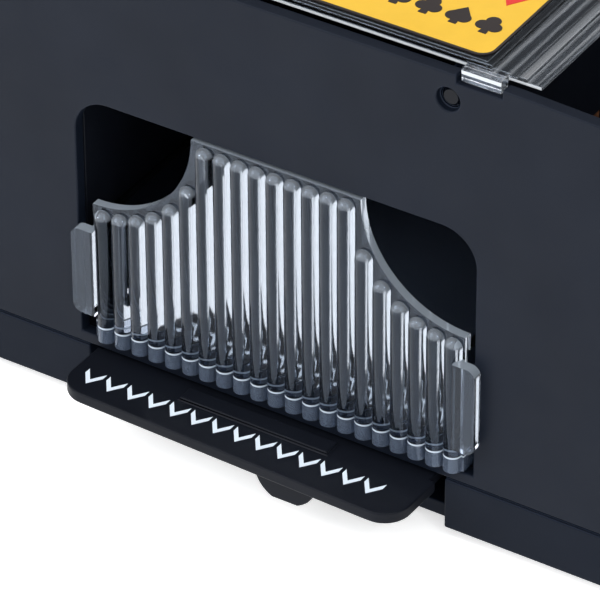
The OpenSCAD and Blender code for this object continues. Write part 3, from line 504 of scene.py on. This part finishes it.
def polygon_reach(points):
    """Distance from the origin to a polygon around it, by direction."""
    parallel, slack = 1e-9, 1e-6

    def reach(a):
        best = 0
        for (x0, y0), (x1, y1) in zip(points, points[1:] + points[:1]):
            dx, dy = x1 - x0, y1 - y0
            cross = math.cos(a) * dy - math.sin(a) * dx
            if abs(cross) < parallel:
                continue
            t = (x0 * dy - y0 * dx) / cross
            u = (x0 * math.sin(a) - y0 * math.cos(a)) / cross
            if t > best and -slack <= u <= 1 + slack:
                best = t
        return best
    return reach


# Suit marks as shapes laid over each other, in a mark's own height
STEM = polygon_reach([(0, 0.05), (0.16, -0.5), (-0.16, -0.5)])
PIPS = {
    "heart": [circle_reach(-0.2, 0.14, 0.255), circle_reach(0.2, 0.14, 0.255),
              polygon_reach([(0, -0.5), (0.415, 0), (0.3, 0.2), (-0.3, 0.2), (-0.415, 0)])],
    "diamond": [polygon_reach([(0, -0.5), (0.19, -0.21), (0.36, 0), (0.19, 0.21), (0, 0.5),
                               (-0.19, 0.21), (-0.36, 0), (-0.19, -0.21)])],
    "spade": [circle_reach(-0.19, -0.1, 0.235), circle_reach(0.19, -0.1, 0.235), STEM,
              polygon_reach([(0, 0.5), (-0.375, 0.03), (-0.25, -0.2), (0.25, -0.2),
                             (0.375, 0.03)])],
    "club": [circle_reach(0, 0.22, 0.24), circle_reach(-0.2, -0.08, 0.235),
             circle_reach(0.2, -0.08, 0.235), STEM],
}


def pip(kind, cx, cy, size, steps=120):
    """Outline of a playing card's suit mark, as tall as size."""
    points = []
    for k in range(steps):
        a = 2 * math.pi * k / steps
        r = size * max(reach(a) for reach in PIPS[kind])
        points.append((cx + r * math.cos(a), cy + r * math.sin(a)))
    return points


def make_label():
    """The printed label: a yellow sheet, its dark outline and plain suit marks."""
    z0, top = label_lo.z, label_hi.z
    sheet_z = z0 + (top - z0) * 0.7
    x0, y0, x1, y1 = label_lo.x, label_lo.y, label_hi.x, label_hi.y
    radius = 2.5 * MM
    line = 0.4 * MM
    outer = rounded_box(x0, y0, x1, y1, radius)
    inner = rounded_box(x0 + line, y0 + line, x1 - line, y1 - line, radius - line)
    sheet = piece("label_sheet", lambda bm: prism(bm, inner, z0, sheet_z), "label", "cover")
    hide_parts("cover_label")
    piece("label_outline", lambda bm: ring(bm, outer, inner, z0, top), "ink", "cover")
    mid_x, mid_y = (x0 + x1) / 2, (y0 + y1) / 2
    # Marks as (suit, x from the middle in mm, y, height in mm), from the label's rear down
    rear, centre, corner, front = mid_y + 30 * MM, mid_y + 2 * MM, y0 + 18.4 * MM, y0 + 7.7 * MM
    front_row, front_pitch, front_size = 13, 5.1, 4.9
    marks = {"ink": [("spade", 0, centre, 30), ("club", -21, rear, 11), ("club", 21, rear, 11)],
             "red_ink": [("diamond", 30, corner, 10), ("heart", -30, corner, 8),
                         ("heart", -21, centre, 16), ("diamond", 21, centre, 19),
                         ("heart", 0, rear, 12)]}
    for k in range(front_row):
        x = (k - front_row // 2) * front_pitch
        marks["ink"].append((("club", "spade")[k % 2], x, front, front_size))

    def draw(bm, group):
        for kind, x, y, size in group:
            prism(bm, pip(kind, mid_x + x * MM, y, size * MM), sheet_z - 0.01 * MM, top)

    for finish, group in marks.items():
        piece("label_marks_" + finish, lambda bm, g=group: draw(bm, g), finish, "cover")


def make_lever_marks():
    """White arrowheads on the lever, pointing the way that it is pressed."""
    skew = math.radians(-0.9)
    top = base_lo.z + 9.0 * MM
    sunk, raised = 0.02 * MM, 0.04 * MM
    count, pitch = 14, 3.98 * MM
    half, rise_y, stroke = 1.65 * MM, 2.3 * MM, 1.2 * MM
    centre = Vector(((lever_lo.x + lever_hi.x) / 2 - 1.8 * MM, wall_y - 8.65 * MM))

    def draw(bm):
        for i in range(count):
            x = (i - (count - 1) / 2) * pitch
            arrow = [(x - half, rise_y + stroke), (x - half, rise_y), (x, 0),
                     (x + half, rise_y), (x + half, rise_y + stroke), (x, stroke)]
            placed = [(centre.x + px * math.cos(skew) - py * math.sin(skew),
                       centre.y + px * math.sin(skew) + py * math.cos(skew)) for px, py in arrow]
            prism(bm, placed, top - sunk, top + raised)

    piece("lever_arrows", draw, "white_ink", "lever")


def make_tyres(side):
    """Rubber tyres with a gripping tread of fine grooves, in the CAD tyres' size."""
    lo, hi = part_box("roller_tyres_" + side)
    hub_lo, hub_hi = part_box("roller_hubs_" + side)
    cx, cz = (lo.x + hi.x) / 2, (lo.z + hi.z) / 2
    outer, inner = (hi.x - lo.x) / 2, (hub_hi.x - hub_lo.x) / 2
    width = 12 * MM
    groove, chamfer = 0.35 * MM, 0.4 * MM
    teeth, tooth_points = 48, 4  # The first two points of each tooth are high, the others low
    points = teeth * tooth_points

    def draw(bm):
        for y0 in (lo.y, hi.y - width):
            y1 = y0 + width
            floor = outer - groove
            loops = []
            # Each station is (y, radius in the grooves, radius on the teeth)
            for y, low, high in ((y0, inner, inner), (y0, floor - chamfer, outer - chamfer),
                                 (y0 + chamfer, floor, outer), (y1 - chamfer, floor, outer),
                                 (y1, floor - chamfer, outer - chamfer), (y1, inner, inner)):
                loop = []
                for k in range(points):
                    a = 2 * math.pi * k / points
                    r = high if k % tooth_points < 2 else low
                    loop.append(bm.verts.new((cx + r * math.cos(a), y, cz + r * math.sin(a))))
                loops.append(loop)
            close_loops(bm, loops)

    tyres = piece("tread_tyres_" + side, draw, "rubber", "roller_" + side)
    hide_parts("roller_tyres_" + side)


# ---- Stage ----
def make_floor():
    reach = 6.0
    corners = [(-reach, -reach, 0), (reach, -reach, 0), (reach, reach, 0), (-reach, reach, 0)]
    mesh = bpy.data.meshes.new("floor")
    mesh.from_pydata(corners, [], [(0, 1, 2, 3)])
    mesh.materials.append(floor_paper("floor_paper"))
    floor = bpy.data.objects.new("floor", mesh)
    bpy.context.scene.collection.objects.link(floor)


def area_light(name, place, size, power):
    """A white rectangular light that shines on the middle of the piece."""
    aim = Vector((0, 0, 0.04))
    data = bpy.data.lights.new(name, "AREA")
    data.shape = "RECTANGLE"
    data.size, data.size_y = size
    data.energy = power
    light = bpy.data.objects.new(name, data)
    light.location = place
    light.rotation_euler = (aim - Vector(place)).to_track_quat("-Z", "Y").to_euler()
    bpy.context.scene.collection.objects.link(light)


def make_light():
    """Soft studio light, with three small lamps that draw the streaks in the ribs."""
    world = bpy.data.worlds.new("studio")
    world.use_nodes = True
    background = world.node_tree.nodes["Background"]
    background.inputs["Color"].default_value = (0.95, 0.97, 1.0, 1)
    background.inputs["Strength"].default_value = 0.35
    bpy.context.scene.world = world
    lamp_size, lamp_power = (0.07, 0.07), 1.0
    area_light("top_softbox", (-0.2, -0.3, 1.4), (3.0, 2.6), 32)
    area_light("left_lamp", (-0.73, -0.68, 0.3), lamp_size, lamp_power)
    area_light("right_lamp", (0.68, -0.38, 0.7), lamp_size, lamp_power)
    area_light("upper_lamp", (-0.16, -0.53, 0.94), lamp_size, lamp_power)
    area_light("front_left_softbox", (-1.0, -1.0, 0.8), (0.9, 1.0), 10)
    area_light("front_right_softbox", (1.0, -1.0, 0.9), (0.8, 1.0), 6)


def make_camera():
    """The photograph's long lens, above the front right corner."""
    azimuth, elevation = math.radians(32.37), math.radians(35.88)
    roll = math.radians(-0.37)
    distance = 824.7 * MM
    middle_x = (house_lo.x + house_hi.x) / 2
    aim = Vector((middle_x + 4.9 * MM, wall_y, base_lo.z + 33.1 * MM))
    ahead = Vector((-math.sin(azimuth) * math.cos(elevation),
                    math.cos(azimuth) * math.cos(elevation), -math.sin(elevation)))
    right = Vector((math.cos(azimuth), math.sin(azimuth), 0))
    up = right.cross(ahead)
    turned_right = math.cos(roll) * right + math.sin(roll) * up
    turned_up = -math.sin(roll) * right + math.cos(roll) * up
    data = bpy.data.cameras.new("camera")
    data.sensor_width = 36
    data.lens = 326.1
    data.clip_start, data.clip_end = 0.01, 50
    camera = bpy.data.objects.new("camera", data)
    turn = Matrix((turned_right, turned_up, -ahead)).transposed()
    camera.matrix_world = Matrix.Translation(aim - ahead * distance) @ turn.to_4x4()
    bpy.context.scene.collection.objects.link(camera)
    bpy.context.scene.camera = camera


make_camera()
finish_nodes()
make_label()
make_lever_marks()
for side in ("left", "right"):
    make_tyres(side)
make_floor()
make_light()
bpy.context.scene.view_settings.view_transform = "Standard"
